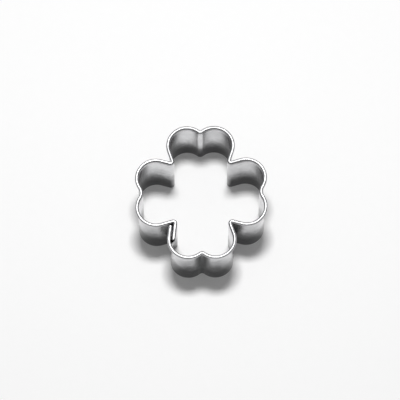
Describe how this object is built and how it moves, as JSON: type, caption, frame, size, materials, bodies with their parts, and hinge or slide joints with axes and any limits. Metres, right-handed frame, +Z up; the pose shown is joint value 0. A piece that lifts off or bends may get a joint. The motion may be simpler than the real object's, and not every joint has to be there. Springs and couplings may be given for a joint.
{
  "type": "cookie cutter",
  "caption": "Four-leaf clover cookie cutter: a bright metal strip with a rolled rim, bent round the outline, its ends lapped and spot welded at an inner corner",
  "frame": {"origin": "centre of the clover, on the plane of the cutting edge", "axes": "+Z up from the cutting edge to the rolled rim, Y along the two longer petals, X along the two shorter ones; the lap joint lies at the inner corner towards -X and -Y"},
  "size_m": [0.049, 0.0524, 0.025],
  "materials": {
    "bright_steel": "bright rolled",
    "weld_metal": "satin"
  },
  "bodies": {
    "root": {"cutter_band": "bright_steel", "lower_spot_weld": "weld_metal", "middle_spot_weld": "weld_metal", "upper_spot_weld": "weld_metal"}
  },
  "joints": []
}
